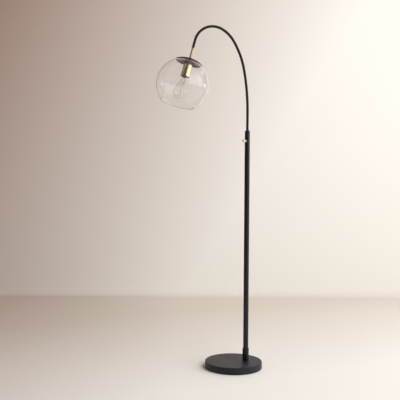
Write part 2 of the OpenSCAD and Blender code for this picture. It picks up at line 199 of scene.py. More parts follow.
def mesh_object(name, points, faces, place=Matrix(), sharp=SHARP):
    """A smooth-shaded object from points in millimetres, with edges sharper than an angle kept."""
    mesh = bpy.data.meshes.new(name)
    mesh.from_pydata([tuple(Vector(p) * MM) for p in points], [], faces)
    mesh.validate()
    work = bmesh.new()
    work.from_mesh(mesh)
    bmesh.ops.recalc_face_normals(work, faces=work.faces)
    work.to_mesh(mesh)
    work.free()
    mesh.shade_smooth()
    mesh.set_sharp_from_angle(angle=math.radians(sharp))
    obj = bpy.data.objects.new(name, mesh)
    bpy.context.scene.collection.objects.link(obj)
    obj.matrix_world = place
    return obj


def lathe(name, outline, place=Matrix(), turns=96, shape=None, bend=None, sharp=SHARP):
    """A closed outline of (r, z) points turned about Z.

    shape(angle, r, z) gives the radius there instead of r, for threads, hexagons and knurls.
    bend(x, y, z) gives the point that a point about a straight axis goes to.
    """
    points, rings = [], []
    for r, z in outline:
        if r < TINY:
            rings.append([len(points)])
            points.append((0, 0, z))
            continue
        rings.append(range(len(points), len(points) + turns))
        for k in range(turns):
            a = TAU * k / turns
            at = shape(a, r, z) if shape else r
            points.append((at * math.cos(a), at * math.sin(a), z))
    if bend:
        points = [bend(*p) for p in points]
    faces = []
    for i, ring in enumerate(rings):
        after = rings[(i + 1) % len(rings)]
        if len(ring) > 1 and len(after) > 1:
            faces += band(ring[0], after[0], turns)
        elif len(after) > 1:
            faces += [(ring[0], after[k], after[(k + 1) % turns]) for k in range(turns)]
        elif len(ring) > 1:
            faces += [(ring[k], after[0], ring[(k + 1) % turns]) for k in range(turns)]
    return mesh_object(name, points, faces, place, sharp)


def even_normals(obj):
    """Flat faces keep their flat shading right up to their rounded edges."""
    mod = obj.modifiers.new("even_normals", "WEIGHTED_NORMAL")
    mod.keep_sharp = True
    mod.weight = NORMAL_WEIGHT


def cut(obj, *cutters):
    """Cuts the cutters out of obj for good, and removes them."""
    for cutter in cutters:
        mod = obj.modifiers.new("cut", "BOOLEAN")
        mod.operation = "DIFFERENCE"
        mod.solver = "EXACT"
        mod.object = cutter
    bpy.context.view_layer.update()
    seen = obj.evaluated_get(bpy.context.evaluated_depsgraph_get())
    mesh = bpy.data.meshes.new_from_object(seen)
    old = obj.data
    obj.modifiers.clear()
    obj.data = mesh
    bpy.data.meshes.remove(old)
    mesh.name = obj.name
    for cutter in cutters:
        bpy.data.objects.remove(cutter)
    mesh.shade_smooth()
    mesh.set_sharp_from_angle(angle=math.radians(SHARP))


def drill(r, start, end, place, turns=48):
    """A plain cylinder to cut with, from height start to end on its own axis."""
    return lathe("drill", [(0, start), (r, start), (r, end), (0, end)], place, turns)


def tube(name, route, r, sides=16):
    """A round wire with domed ends through points."""
    route = [Vector(p) for p in route]
    last = len(route) - 1
    ways = [(route[min(i + 1, last)] - route[max(i - 1, 0)]).normalized() for i in range(last + 1)]
    side = ways[0].orthogonal().normalized()
    stations = []
    for at, way in zip(route, ways):
        side = (side - way * side.dot(way)).normalized()
        stations.append((at, way, side, r))

    def dome(station, outwards):
        at, way, side = station[:3]
        return [(at + way * r * out * outwards, way, side, r * wide) for out, wide in DOME]

    stations = dome(stations[0], -1)[::-1] + stations + dome(stations[-1], 1)
    points = []
    for at, way, side, radius in stations:
        up = way.cross(side)
        points += [at + (side * x + up * y) * radius for x, y, _ in circle(1, 0, sides)]
    end = len(stations) - 1
    faces = [tuple(range(sides))]
    for i in range(end):
        faces += band(i * sides, (i + 1) * sides, sides)
    faces.append(tuple(range(end * sides, (end + 1) * sides)))
    return mesh_object(name, points, faces, sharp=60)


def joined(name, objects, place):
    """One object made of several that share a place."""
    mesh = bpy.data.meshes.new(name)
    work = bmesh.new()
    for obj in objects:
        work.from_mesh(obj.data)
    work.to_mesh(mesh)
    work.free()
    for obj in objects:
        bpy.data.objects.remove(obj)
    obj = bpy.data.objects.new(name, mesh)
    bpy.context.scene.collection.objects.link(obj)
    obj.matrix_world = place
    return obj


# ---- materials ----------------------------------------------------------------------------

class Nodes:
    """A shader's node tree, with short ways to add to it."""

    def __init__(self, tree):
        self.tree = tree

    def node(self, kind, **settings):
        made = self.tree.nodes.new("ShaderNode" + kind)
        for key, value in settings.items():
            setattr(made, key, value)
        return made

    def link(self, source, target):
        self.tree.links.new(source, target)

    def maths(self, operation, a, b):
        """An operation on two values, the second of which may be a plain number."""
        made = self.node("Math", operation=operation)
        self.link(a, made.inputs[0])
        if isinstance(b, float):
            made.inputs[1].default_value = b
        else:
            self.link(b, made.inputs[1])
        return made.outputs["Value"]

    def along(self, source, way):
        """How far a place or a direction reaches along way."""
        made = self.node("VectorMath", operation="DOT_PRODUCT")
        self.link(source, made.inputs[0])
        made.inputs[1].default_value = way
        return made.outputs["Value"]

    def spread(self, source, low_value, high_value, start=0.3, end=0.7, ease="LINEAR"):
        """A value that goes from low_value to high_value as source goes from start to end."""
        made = self.node("MapRange", interpolation_type=ease)
        limits = {"From Min": start, "From Max": end, "To Min": low_value, "To Max": high_value}
        for key, value in limits.items():
            made.inputs[key].default_value = value
        self.link(source, made.inputs["Value"])
        return made.outputs["Result"]

    def either(self, share, first, second, target):
        """Gives target the first shader where share is 0 and the second where it is 1."""
        made = self.node("MixShader")
        self.link(share, made.inputs["Fac"])
        self.link(first, made.inputs[1])
        self.link(second, made.inputs[2])
        self.link(made.outputs["Shader"], target)


class Paint(Nodes):
    """A Principled material under construction."""

    def __init__(self, name, **values):
        self.mat = bpy.data.materials.new(name)
        self.mat.use_nodes = True
        super().__init__(self.mat.node_tree)
        self.shader = self.tree.nodes["Principled BSDF"]
        self.surface = self.tree.nodes["Material Output"].inputs["Surface"]
        self.at = self.node("TexCoord").outputs["Object"]
        for key, value in values.items():
            self.shader.inputs[key.replace("_", " ")].default_value = value

    def noise(self, scale, detail, stretch=(1, 1, 1)):
        """Noise with scale features to the metre, in the piece's own axes."""
        mapping = self.node("Mapping")
        mapping.inputs["Scale"].default_value = stretch
        self.link(self.at, mapping.inputs["Vector"])
        made = self.node("TexNoise")
        made.inputs["Scale"].default_value = scale
        made.inputs["Detail"].default_value = detail
        made.inputs["Roughness"].default_value = 0.5
        self.link(mapping.outputs["Vector"], made.inputs["Vector"])
        return made.outputs["Fac"]

    def tint(self, source, dark, light, start=0.3, end=0.7):
        """A colour that goes from dark to light as source goes from start to end."""
        made = self.node("Mix", data_type="RGBA")
        made.inputs["A"].default_value = (*dark, 1)
        made.inputs["B"].default_value = (*light, 1)
        self.link(self.spread(source, 0, 1, start, end), made.inputs["Factor"])
        return made.outputs["Result"]

    def mixed(self, a, b, share=0.5):
        """Two values mixed, the second with this share of the result."""
        made = self.node("Mix", data_type="FLOAT")
        made.inputs["Factor"].default_value = share
        self.link(a, made.inputs["A"])
        self.link(b, made.inputs["B"])
        return made.outputs["Result"]

    def colour(self, source, dark, light):
        self.link(self.tint(source, dark, light), self.shader.inputs["Base Color"])

    def rough(self, source, smooth, dull):
        self.link(self.spread(source, smooth, dull), self.shader.inputs["Roughness"])

    def bump(self, source, depth):
        """Bump whose full depth, in millimetres, is where source goes from 0 to 1."""
        made = self.node("Bump")
        made.inputs["Strength"].default_value = 1.0
        made.inputs["Distance"].default_value = depth * MM
        self.link(source, made.inputs["Height"])
        self.link(made.outputs["Normal"], self.shader.inputs["Normal"])


# Each kind of material takes the two colours that it varies between. All but clear glass then
# take two roughnesses likewise. Depths of bump are in millimetres.
def black_coat(name, dark, light, smooth, dull, depth):
    """Satin black powder coat: a fine orange peel and a slow change of gloss."""
    p = Paint(name, Specular_IOR_Level=0.33)
    p.colour(p.noise(30, 4), dark, light)
    p.rough(p.mixed(p.noise(18, 3), p.noise(900, 2)), smooth, dull)
    p.bump(p.mixed(p.noise(650, 1), p.noise(2400, 1), 0.25), depth)
    return p.mat


def brass(name, dark, light, smooth, dull, metallic=1.0):
    """Lacquered brass with fine brush marks that run round the piece's own Z axis."""
    p = Paint(name, Metallic=metallic)
    marks = p.noise(1, 3, stretch=(60, 60, 2200))
    p.colour(p.mixed(p.noise(22, 3), marks, 0.35), dark, light)
    p.rough(p.mixed(p.noise(40, 3), marks, 0.55), smooth, dull)
    p.bump(marks, 0.006)
    return p.mat


def metal(name, dark, light, smooth, dull, grain=260, depth=0.01):
    p = Paint(name, Metallic=1.0)
    p.colour(p.noise(45, 5), dark, light)
    p.rough(p.noise(120, 3), smooth, dull)
    p.bump(p.noise(grain, 4), depth)
    return p.mat


def moulded(name, dark, light, smooth, dull, grain=1500, depth=0.01):
    """Rubber, plastic, foam or phosphor: colour that changes a little, and a grain."""
    p = Paint(name)
    p.colour(p.noise(60, 4), dark, light)
    p.rough(p.noise(200, 3), smooth, dull)
    p.bump(p.noise(grain, 3), depth)
    return p.mat


def clear_glass(name, dark, light, depth, ior):
    """Clear glass that lamps shine through, with a faint ripple and a slow change of tint."""
    p = Paint(name, Transmission_Weight=1.0, IOR=ior, Roughness=0.0)
    p.colour(p.noise(14, 2), dark, light)
    p.bump(p.noise(16, 2), depth)
    lit = p.node("BsdfTransparent")
    lit.inputs["Color"].default_value = (0.93, 0.93, 0.92, 1)
    shadow = p.node("LightPath").outputs["Is Shadow Ray"]
    p.either(shadow, p.shader.outputs["BSDF"], lit.outputs["BSDF"], p.surface)
    return p.mat


looks = {}


def look(kind, name, *values, **more):
    """Makes one of the materials that pieces ask for by name."""
    looks[name] = kind(name, *values, **more)


look(black_coat, "black_paint", (0.0035, 0.0042, 0.0066), (0.006, 0.0068, 0.0096), 0.27, 0.37, 0.02)
look(brass, "satin_brass", (0.62, 0.51, 0.32), (0.74, 0.63, 0.42), 0.17, 0.26)
look(black_coat, "base_paint", (0.006, 0.0075, 0.013), (0.009, 0.0105, 0.018), 0.42, 0.50, 0.03)
look(brass, "stem_brass", (0.33, 0.25, 0.11), (0.45, 0.35, 0.17), 0.20, 0.30)
# Painted sheen: a paler, half-metallic copy of the satin brass, whose pale colour stands in for the
# bright surroundings that the knob reflects.
look(brass, "knob_brass", (0.78, 0.71, 0.56), (0.87, 0.81, 0.67), 0.22, 0.32, metallic=0.55)
look(brass, "aged_brass", (0.045, 0.032, 0.014), (0.075, 0.054, 0.024), 0.28, 0.42)
look(metal, "plain_brass", (0.50, 0.36, 0.16), (0.62, 0.46, 0.22), 0.28, 0.42)
look(clear_glass, "shade_glass", (0.985, 0.984, 0.984), (0.998, 0.996, 0.996), 0.09, 1.47)
look(clear_glass, "bulb_glass", (0.97, 0.982, 0.972), (0.985, 0.992, 0.987), 0.05, 1.36)
look(moulded, "filament", (0.90, 0.88, 0.80), (0.95, 0.94, 0.88), 0.45, 0.65, 2600, 0.02)
look(metal, "bulb_shell", (0.45, 0.38, 0.25), (0.60, 0.52, 0.36), 0.25, 0.42)
look(metal, "cast_iron", (0.05, 0.05, 0.052), (0.10, 0.10, 0.105), 0.55, 0.8, 900, 0.12)
look(metal, "zinc_steel", (0.40, 0.41, 0.42), (0.56, 0.57, 0.58), 0.26, 0.45)
look(metal, "tin", (0.50, 0.50, 0.50), (0.66, 0.66, 0.65), 0.30, 0.50)
look(moulded, "rubber", (0.014, 0.014, 0.014), (0.024, 0.024, 0.024), 0.55, 0.75, 1300, 0.03)
look(moulded, "foot_pad", (0.018, 0.018, 0.019), (0.034, 0.034, 0.035), 0.85, 1.0, 1900, 0.15)
look(moulded, "silicone", (0.60, 0.60, 0.57), (0.74, 0.74, 0.71), 0.35, 0.55, 700, 0.01)
look(moulded, "black_plastic", (0.012, 0.012, 0.012), (0.022, 0.022, 0.022), 0.28, 0.42)
look(moulded, "ivory_plastic", (0.60, 0.56, 0.46), (0.70, 0.66, 0.57), 0.35, 0.5)
look(moulded, "nylon", (0.66, 0.64, 0.58), (0.76, 0.74, 0.69), 0.35, 0.5)
look(moulded, "wire_jacket", (0.012, 0.012, 0.012), (0.022, 0.022, 0.022), 0.4, 0.55)


def piece(obj, body, look_name, *nodes, slot=None):
    """Gives a finished piece its material and its CAD body, and hides the nodes it stands for.

    slot is not used.
    """
    obj.data.materials.clear()
    obj.data.materials.append(looks[look_name])
    even_normals(obj)
    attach(obj, body)
    if nodes:
        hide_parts(*nodes)
    return obj


# ---- base ---------------------------------------------------------------------------------

PAD_T = 2
SHEET_T = 1.5
STUD_HOLE_R = 8 + 0.3
GROMMET_R = 7
INLET_Z = 13
INLET_AT = move(0, BASE_R, INLET_Z) @ Matrix.Rotation(-math.pi / 2, 4, "X")


def base_cover():
    """The pressed cover: a flat top with a rounded edge, and holes for the stud and the cord."""
    under = BASE_TOP - SHEET_T
    inside = BASE_R - SHEET_T
    outline = rounded([
        (0, under, 0), (inside, under, 1.5), (inside, PAD_T, 0.3),
        (BASE_R, PAD_T, 0.6), (BASE_R, BASE_TOP, 3.2), (0, BASE_TOP, 0),
    ], steps=8)
    obj = lathe("base_cover_skin", split(outline, 12), turns=160)
    stud_hole = drill(STUD_HOLE_R, under - PAST, BASE_TOP + PAST, POLE)
    cord_hole = drill(GROMMET_R + 0.05, -6, 6, INLET_AT)
    cut(obj, stud_hole, cord_hole)
    return piece(obj, "root", "base_paint", "base_cover", slot="black_paint")


def floor_pad():
    r = high("floor_pad")[0] / MM
    outline = rounded([(0, 0, 0), (r, 0, 0.5), (r, PAD_T, 0.5), (0, PAD_T, 0)], steps=4)
    obj = lathe("foot_pad_disc", split(outline, 15), turns=128)
    return piece(obj, "root", "foot_pad", "floor_pad")


def cord_grommet():
    """A rubber grommet: a domed flange outside the wall, a lip inside it and a flared bore."""
    bore, flange = 3.6, 9
    outline = rounded([
        (bore, -6.2, 0.4), (flange, -6.2, 0.8), (flange, -2.1, 0.6), (GROMMET_R, -1.9, 0.3),
        (GROMMET_R, -0.4, 0.2), (flange, -0.3, 0.3), (flange, 0.8, 0.8), (6.6, 1.8, 0.9),
        (bore, 1.8, 0.9),
    ], steps=5)
    obj = lathe("inlet_grommet", outline, INLET_AT, 64)
    return piece(obj, "root", "rubber", "cord_grommet")


# ---- pole ---------------------------------------------------------------------------------

POLE_BORE_R = POLE_R - 1.5
BEVEL = 0.4
SLEEVE_R = 15.5
SET_SCREW_R = 2
SET_AT = move(POLE_X, 0, BASE_TOP + 20) @ Matrix.Rotation(-math.pi / 2, 4, "X")
SPIGOT_LENGTH = 60
SLIDE_FIT = 0.08
BOSS_NECK_R = 4.4
BOSS_R = 8.5
BOSS_FACE = POLE_R + 4
SCREW_R = 3
LEAD_R = 2.5


def hexagon(angle, across):
    """Radius of a hexagon that is across wide between its flats, at an angle."""
    turn = (angle % (TAU / 6)) - TAU / 12
    return across / 2 / math.cos(turn)


def pole_sleeve():
    inside = POLE_R + 0.05
    outline = rounded([
        (inside, BASE_TOP, 0.15), (SLEEVE_R, BASE_TOP, 0.35), (SLEEVE_R, SLEEVE_TOP - 1, 0.5),
        (SLEEVE_R - 1, SLEEVE_TOP, 0.4), (inside, SLEEVE_TOP, 0.2),
    ], steps=4)
    obj = lathe("foot_sleeve", split(outline, 14), POLE, 96)
    cut(obj, drill(SET_SCREW_R + 0.02, POLE_R - 2, SLEEVE_R + 3, SET_AT))
    return piece(obj, "root", "black_paint", "pole_sleeve")


def sleeve_set_screw():
    """A socket set screw: a hexagon socket in a flat end with a broken edge."""
    start, end = POLE_R + 0.3, SLEEVE_R - 0.2
    socket = 1
    outline = rounded([
        (0, start, 0), (1.6, start, 0.1), (SET_SCREW_R, POLE_R + 0.7, 0.1),
        (SET_SCREW_R, end, 0.25), (socket, end, 0.1), (socket, end - 1.6, 0.05), (0, end - 1.9, 0),
    ], steps=3)

    def socketed(angle, r, z):
        return hexagon(angle, 2 * r) if r <= socket + 0.05 and z > POLE_R + 1 else r

    obj = lathe("sleeve_grub_screw", outline, SET_AT, 48, shape=socketed)
    return piece(obj, "root", "zinc_steel", "sleeve_set_screw")


def pole_length(name, low_z, high_z, low_bevel, high_bevel):
    outline = rounded([
        (POLE_BORE_R, low_z, 0.1), (POLE_R - low_bevel, low_z, 0.1),
        (POLE_R, low_z + low_bevel, 0.25), (POLE_R, high_z - high_bevel, 0.25),
        (POLE_R - high_bevel, high_z, 0.1), (POLE_BORE_R, high_z, 0.1),
    ], steps=3)
    return lathe(name, split(outline, 30), POLE, 96)


def boss_hole():
    """A cutter for the hole through the pole's wall, which the neck of the lock boss fills."""
    return drill(BOSS_NECK_R, 3, BOSS_FACE, KNOB)


def pole():
    lower = pole_length("pole_lower_tube", BASE_TOP, JOINT_Z, 0.15, BEVEL)
    piece(lower, "root", "black_paint", "pole_lower")
    upper = pole_length("pole_upper_tube", JOINT_Z, SHOULDER_Z, BEVEL, 0.1)
    cut(upper, boss_hole())
    piece(upper, "root", "black_paint", "pole_upper")


def pole_top_bush():
    """The turned end of the pole: a round shoulder, and a spigot down the pole's bore."""
    bore = ARM_R + SLIDE_FIT
    foot = SHOULDER_Z - SPIGOT_LENGTH
    outline = rounded([
        (bore, foot, 0.3), (POLE_BORE_R, foot, 0.5), (POLE_BORE_R, SHOULDER_Z, 0),
        (POLE_R, SHOULDER_Z, 0.12), (POLE_R, POLE_TOP, 4.2), (bore + 0.5, POLE_TOP, 0.1),
        (bore, POLE_TOP - 0.5, 0.1),
    ], steps=9)
    obj = lathe("pole_shoulder", split(outline, 10), POLE, 96)
    cut(obj, boss_hole())
    return piece(obj, "root", "black_paint", "pole_top_bush")


def lock_boss():
    """A boss with a fillet that follows the round of the pole, and a neck through its wall."""
    turns = 72
    bore = SCREW_R + SLIDE_FIT
    neck_end, neck_root = 8.3, 10.4
    # How far each ring of the fillet stands out from the boss and above the pole
    fillet = ((1.3, 0), (0.75, 0.12), (0.35, 0.42), (0.1, 0.9), (0, 1.6))
    sunk = -0.3
    front = rounded([
        (BOSS_R, BOSS_FACE - 1.2, 0), (BOSS_R, BOSS_FACE, 0.7), (4.2, BOSS_FACE, 0.3),
        (bore, BOSS_FACE - 0.8, 0.2), (bore, neck_end, 0),
    ], steps=5, closed=False)[1:-1]

    def saddle(r, lift):
        """A ring that stands lift above the pole's own round."""
        return [(x, y, min(math.sqrt(POLE_R ** 2 - y ** 2) + lift, BOSS_FACE - 1.3))
                for x, y, _ in circle(r, 0, turns)]

    rings = [circle(bore, neck_end, turns), circle(BOSS_NECK_R, neck_end, turns),
             circle(BOSS_NECK_R, neck_root, turns), saddle(BOSS_NECK_R, sunk),
             saddle(BOSS_R + fillet[0][0], sunk)]
    rings += [saddle(BOSS_R + out, lift) for out, lift in fillet]
    rings += [circle(r, z, turns) for r, z in front]
    faces = []
    for i in range(len(rings)):
        faces += band(i * turns, (i + 1) % len(rings) * turns, turns)
    points = [point for ring in rings for point in ring]
    obj = mesh_object("lock_boss_turned", points, faces, KNOB)
    return piece(obj, "root", "black_paint", "lock_boss")


def pole_lead():
    """The flex inside the pole, as it lies at rest, attached to no body."""
    start, end = low("pole_lead")[2] / MM, high("pole_lead")[2] / MM
    outline = rounded([
        (0, start, 0), (LEAD_R, start, 0.4), (LEAD_R, end, 0.4), (0, end, 0),
    ], steps=3)
    obj = lathe("pole_flex", split(outline, 25), POLE, 20)
    obj.data.materials.append(looks["wire_jacket"])
    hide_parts("pole_lead")
    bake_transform(obj)


# ---- arm ----------------------------------------------------------------------------------

def arm_frame(distance):
    """The point at a distance up the arm from its tail, and the arm's direction there, in XZ."""
    straight = ARC_Z - ARM_TAIL
    at = Vector((POLE_X, ARM_TAIL + min(distance, straight)))
    turn = math.pi / 2
    left = distance - straight
    for radius, degrees in zip(ARC_R, ARC_TURN):
        if left <= 0:
            break
        angle = min(math.radians(degrees), left / radius)
        centre = at + radius * Vector((-math.sin(turn), math.cos(turn)))
        turn += angle
        at = centre + radius * Vector((math.sin(turn), -math.cos(turn)))
        left -= radius * angle
    way = Vector((math.cos(turn), math.sin(turn)))
    if left > TINY:
        at = at + way * left
    return at, way


ARCS_LENGTH = sum(r * math.radians(a) for r, a in zip(ARC_R, ARC_TURN))
ARM_LENGTH = ARC_Z - ARM_TAIL + ARCS_LENGTH + ARM_TIP


def along_arm(x, y, z):
    """Bends a point about a straight Z axis on to the arm's route. x points to the arm's inside."""
    at, way = arm_frame(z)
    inside = Vector((-way.y, way.x))
    spot = at + inside * x
    return (spot.x, y, spot.y)


def arm_tube():
    """The bent tube: a few rings where it is straight, and close ones from below its arcs on."""
    close_from, gap, rim = 460.0, 6.0, 3
    count = math.ceil((ARM_LENGTH - rim - 1 - close_from) / gap)
    stations = [150, 300, 440] + [close_from + gap * k for k in range(count)]
    outer = [(ARM_R, s) for s in stations]
    inner = [(ARM_BORE_R, s) for s in reversed(stations)]
    tip = rounded([
        (ARM_R, ARM_LENGTH - rim, 0), (ARM_R, ARM_LENGTH, 0.7), (ARM_BORE_R, ARM_LENGTH, 0.35),
        (ARM_BORE_R, ARM_LENGTH - rim, 0),
    ], steps=5, closed=False)
    outline = [(ARM_R, 0)] + outer + tip + inner + [(ARM_BORE_R, 0)]
    obj = lathe("arm_bent_tube", outline, turns=48, bend=along_arm)
    return piece(obj, "arm", "black_paint", "arm_tube")


# ---- lock ---------------------------------------------------------------------------------

KNOB_R = 6
KNOB_IN = POLE_R + 4.5
KNOB_LEN = 21
KNURLS = 40


def thread(pitch, depth, on=None):
    """Radius of a rounded thread, cut in where the radius is on, or else raised everywhere."""
    def shape(angle, r, z):
        wave = 0.5 + 0.5 * math.cos(TAU * z / pitch - angle)
        if on is None:
            return r + depth * wave
        return r - depth * (1 - wave) if r == on else r
    return shape


def lock_screw():
    start, end = POLE_R - 3.2, KNOB_IN + 10
    bevel, row = 0.5, 0.16
    rows = [(SCREW_R, start + bevel + k * row) for k in range(int((end - start - bevel) / row))]
    outline = [(0, start), (SCREW_R - 0.6, start)] + rows + [(SCREW_R, end), (0, end)]
    obj = lathe("lock_thread", outline, KNOB, 36, shape=thread(0.8, 0.3, on=SCREW_R), sharp=50)
    return piece(obj, "lock_knob", "plain_brass", "lock_screw", slot="satin_brass")


def lock_knob():
    """A turned brass knob: a knurled band between two grooves, and a slightly domed face."""
    start, end = KNOB_IN, KNOB_IN + KNOB_LEN
    groove = KNOB_R - 0.5
    bore_end = start + 9
    knurl_start, knurl_end = start + 4.2, end - 5.2

    def knurl(angle, r, z):
        if r < KNOB_R - 0.02 or not knurl_start < z < knurl_end:
            return r
        ease = min(1, (z - knurl_start) / 0.5, (knurl_end - z) / 0.5)
        return r - 0.22 * ease * (0.5 + 0.5 * math.cos(angle * KNURLS))

    outline = rounded([
        (SCREW_R, start, 0.2), (KNOB_R - 1.2, start, 0.3), (KNOB_R, start + 1, 0.5),
        (KNOB_R, start + 3.2, 0.1), (groove, start + 3.4, 0.1), (groove, start + 3.9, 0.1),
        (KNOB_R, start + 4.1, 0.1), (KNOB_R, end - 5.1, 0.1), (groove, end - 4.9, 0.1),
        (groove, end - 4.4, 0.1), (KNOB_R, end - 4.2, 0.1), (KNOB_R, end - 0.7, 0.7),
        (KNOB_R - 1.6, end - 0.15, 0.8), (0, end, 0), (0, bore_end, 0), (SCREW_R, bore_end, 0),
    ], steps=4)
    obj = lathe("lock_knob_turned", split(outline, 0.5), KNOB, 240, shape=knurl, sharp=45)
    # The knob's brass carries painted sheen: a paler colour for what it reflects.
    return piece(obj, "lock_knob", "knob_brass", "lock_knob", slot="satin_brass")


# ---- head ---------------------------------------------------------------------------------

CAP_OUT = GLOBE_R + 2.5
CAP_T = 1.5
CAP_RIM_R = 65.5
CAP_RIM_W = math.sqrt(CAP_OUT ** 2 - CAP_RIM_R ** 2)
COLLAR_R = 6.6
COLLAR_W = CAP_OUT - 0.05
COLLAR_TOP = COLLAR_W + 6
STEM_R = 5
NIPPLE_R = 4
NIPPLE_HOLE_R = NIPPLE_R + 0.05
GLOBE_IN = GLOBE_R - 1.8
MOUTH_R = 82
MOUTH_W = -math.sqrt(GLOBE_R ** 2 - MOUTH_R ** 2)
NECK_R = 16
COVER_R = 21.5
COVER_T = 1.2
COVER_LOW = 40
COVER_TOP = 118.5


def stem():
    outline = rounded([
        (NIPPLE_R, COLLAR_TOP, 0.1), (STEM_R, COLLAR_TOP, 0.3),
        (STEM_R, ARM_END_W, 0.35), (NIPPLE_R, ARM_END_W, 0.1),
    ], steps=4)
    obj = lathe("stem_tube", split(outline, 4), HEAD, 64)
    return piece(obj, "arm", "stem_brass", "stem", slot="satin_brass")


def stem_collar():
    """A turned collar with a fine groove round it."""
    groove = 6.3
    outline = rounded([
        (NIPPLE_R, COLLAR_W, 0.1), (6, COLLAR_W, 0.2), (COLLAR_R, COLLAR_W + 0.9, 0.4),
        (COLLAR_R, COLLAR_W + 2.6, 0.15), (groove, COLLAR_W + 2.8, 0.1),
        (groove, COLLAR_W + 3.2, 0.1), (COLLAR_R, COLLAR_W + 3.4, 0.15),
        (COLLAR_R, COLLAR_TOP - 0.9, 0.4), (6, COLLAR_TOP, 0.3), (NIPPLE_R, COLLAR_TOP, 0.1),
    ], steps=4)
    return piece(lathe("collar_ring", outline, HEAD, 72), "arm", "aged_brass", "stem_collar")


def shade_cap():
    """A spun dome with a rounded rim."""
    inner = CAP_OUT - CAP_T
    # The dome stops this small angle above the rim's foot, which leaves room for its round
    rim = math.asin(CAP_RIM_W / CAP_OUT) + 0.006
    outer_arc = arc(CAP_OUT, math.acos(NIPPLE_HOLE_R / CAP_OUT), rim, 40)
    inner_arc = arc(inner, rim, math.acos(NIPPLE_HOLE_R / inner), 40)
    a, b = outer_arc[-1], inner_arc[0]
    middle = ((a[0] + b[0]) / 2, (a[1] + b[1]) / 2)
    radius = math.dist(a, b) / 2
    slope = math.atan2(a[1] - b[1], a[0] - b[0])
    angles = [slope - k * math.pi / 8 for k in range(1, 8)]
    roll = [(middle[0] + radius * math.cos(t), middle[1] + radius * math.sin(t)) for t in angles]
    obj = lathe("shade_cap_dome", outer_arc + roll + inner_arc, HEAD, 128)
    return piece(obj, "arm", "base_paint", "shade_cap", slot="black_paint")


def globe_shade():
    """The blown globe: a fire-polished mouth, and a ground neck under the cap."""
    lip, ground = 1.3, 0.5
    neck_out, mouth_out = math.acos(NECK_R / GLOBE_R), math.asin(MOUTH_W / GLOBE_R)
    neck_in, mouth_in = math.acos(NECK_R / GLOBE_IN), math.asin(MOUTH_W / GLOBE_IN)
    outer = [(r, z, 0) for r, z in arc(GLOBE_R, neck_out, mouth_out, 64)]
    inner = [(r, z, 0) for r, z in arc(GLOBE_IN, mouth_in, neck_in, 64)]
    outer[0] = (*outer[0][:2], ground)
    inner[-1] = (*inner[-1][:2], ground)
    outer[-1] = (MOUTH_R, MOUTH_W, lip)
    inner[0] = (math.sqrt(GLOBE_IN ** 2 - MOUTH_W ** 2), MOUTH_W, lip)
    obj = lathe("globe_glass", rounded(outer + inner, steps=6), HEAD, 192, sharp=80)
    return piece(obj, "arm", "shade_glass", "globe_shade")


def socket_cover():
    """A spun brass cup, open below, with a small bead round its mouth."""
    inside, bead = COVER_R - COVER_T, COVER_R + 0.7
    under = COVER_TOP - COVER_T
    outline = rounded([
        (inside, COVER_LOW, 0.3), (bead, COVER_LOW, 0.6), (bead, COVER_LOW + 2.2, 0.6),
        (COVER_R, COVER_LOW + 2.5, 0.2), (COVER_R, COVER_TOP, 1.3), (NIPPLE_HOLE_R, COVER_TOP, 0.1),
        (NIPPLE_HOLE_R, under, 0.1), (inside, under, 0.8),
    ], steps=6)
    obj = lathe("socket_cover_spun", split(outline, 5), HEAD, 128)
    return piece(obj, "arm", "satin_brass", "socket_cover")


E26_PITCH = 3.63
SHELL_R = 13.35
HOLDER_R = 18.5
HOLDER_LOW = COVER_LOW + 1
HOLDER_SPLIT = 90


def lampholder_body():
    room_r, room_top = SHELL_R + 0.6, 66
    outline = rounded([
        (0, room_top, 0), (room_r, room_top, 0.3), (room_r, HOLDER_LOW + 0.8, 0.2),
        (SHELL_R + 1.3, HOLDER_LOW, 0.2), (HOLDER_R, HOLDER_LOW, 1), (HOLDER_R, HOLDER_SPLIT, 0.4),
        (0, HOLDER_SPLIT, 0),
    ], steps=5)
    obj = lathe("lampholder_shell", split(outline, 8), HEAD, 96)
    return piece(obj, "arm", "black_plastic", "lampholder_body")


def screw_shell():
    """The lampholder's thin shell, rolled to the thread of the bulb's base."""
    start, end, row = HOLDER_LOW + 1, 65, 0.45
    rows = [start + k * row for k in range(int((end - start) / row) + 1)]
    outline = [(SHELL_R + 0.15, z) for z in rows] + [(SHELL_R, z) for z in reversed(rows)]
    obj = lathe("socket_thread", outline, HEAD, 72, shape=thread(E26_PITCH, 0.4), sharp=60)
    return piece(obj, "arm", "plain_brass", "screw_shell", slot="satin_brass")


# ---- bulb ---------------------------------------------------------------------------------

BULB_R = 33.5
BULB_TIP = -70
BULB_NECK_R = 12.5
BULB_NECK_W = 36
BULB_WALL = 0.9
BULB_LOW = BULB_TIP + BULB_R
BULB_SHELL_R = 13.0
STICKS = 4
STICK_R = 1.4
STICK_LENGTH = 42
STICK_SPLAY = math.radians(12)
WIRE_R = 0.3


def bulb_outline(inset):
    """Half outline of the bulb from its tip up to its neck, set in from the glass's outside."""
    round_end = arc(BULB_R - inset, -math.pi / 2, 0, 24)
    points = [(0, round_end[0][1] + BULB_LOW)] + [(r, z + BULB_LOW) for r, z in round_end[1:]]
    steps = 26
    for k in range(1, steps + 1):
        t = k / steps
        r = BULB_NECK_R + (BULB_R - BULB_NECK_R) * (1 + math.cos(math.pi * t)) / 2
        points.append((r - inset, BULB_LOW + (BULB_NECK_W - BULB_LOW) * t))
    return points + [(BULB_NECK_R - inset, BULB_NECK_W + 6.8)]


def bulb_glass():
    outline = bulb_outline(0) + bulb_outline(BULB_WALL)[::-1]
    obj = lathe("bulb_envelope", outline, HEAD, 96, sharp=80)
    return piece(obj, "bulb", "bulb_glass", "bulb_glass")


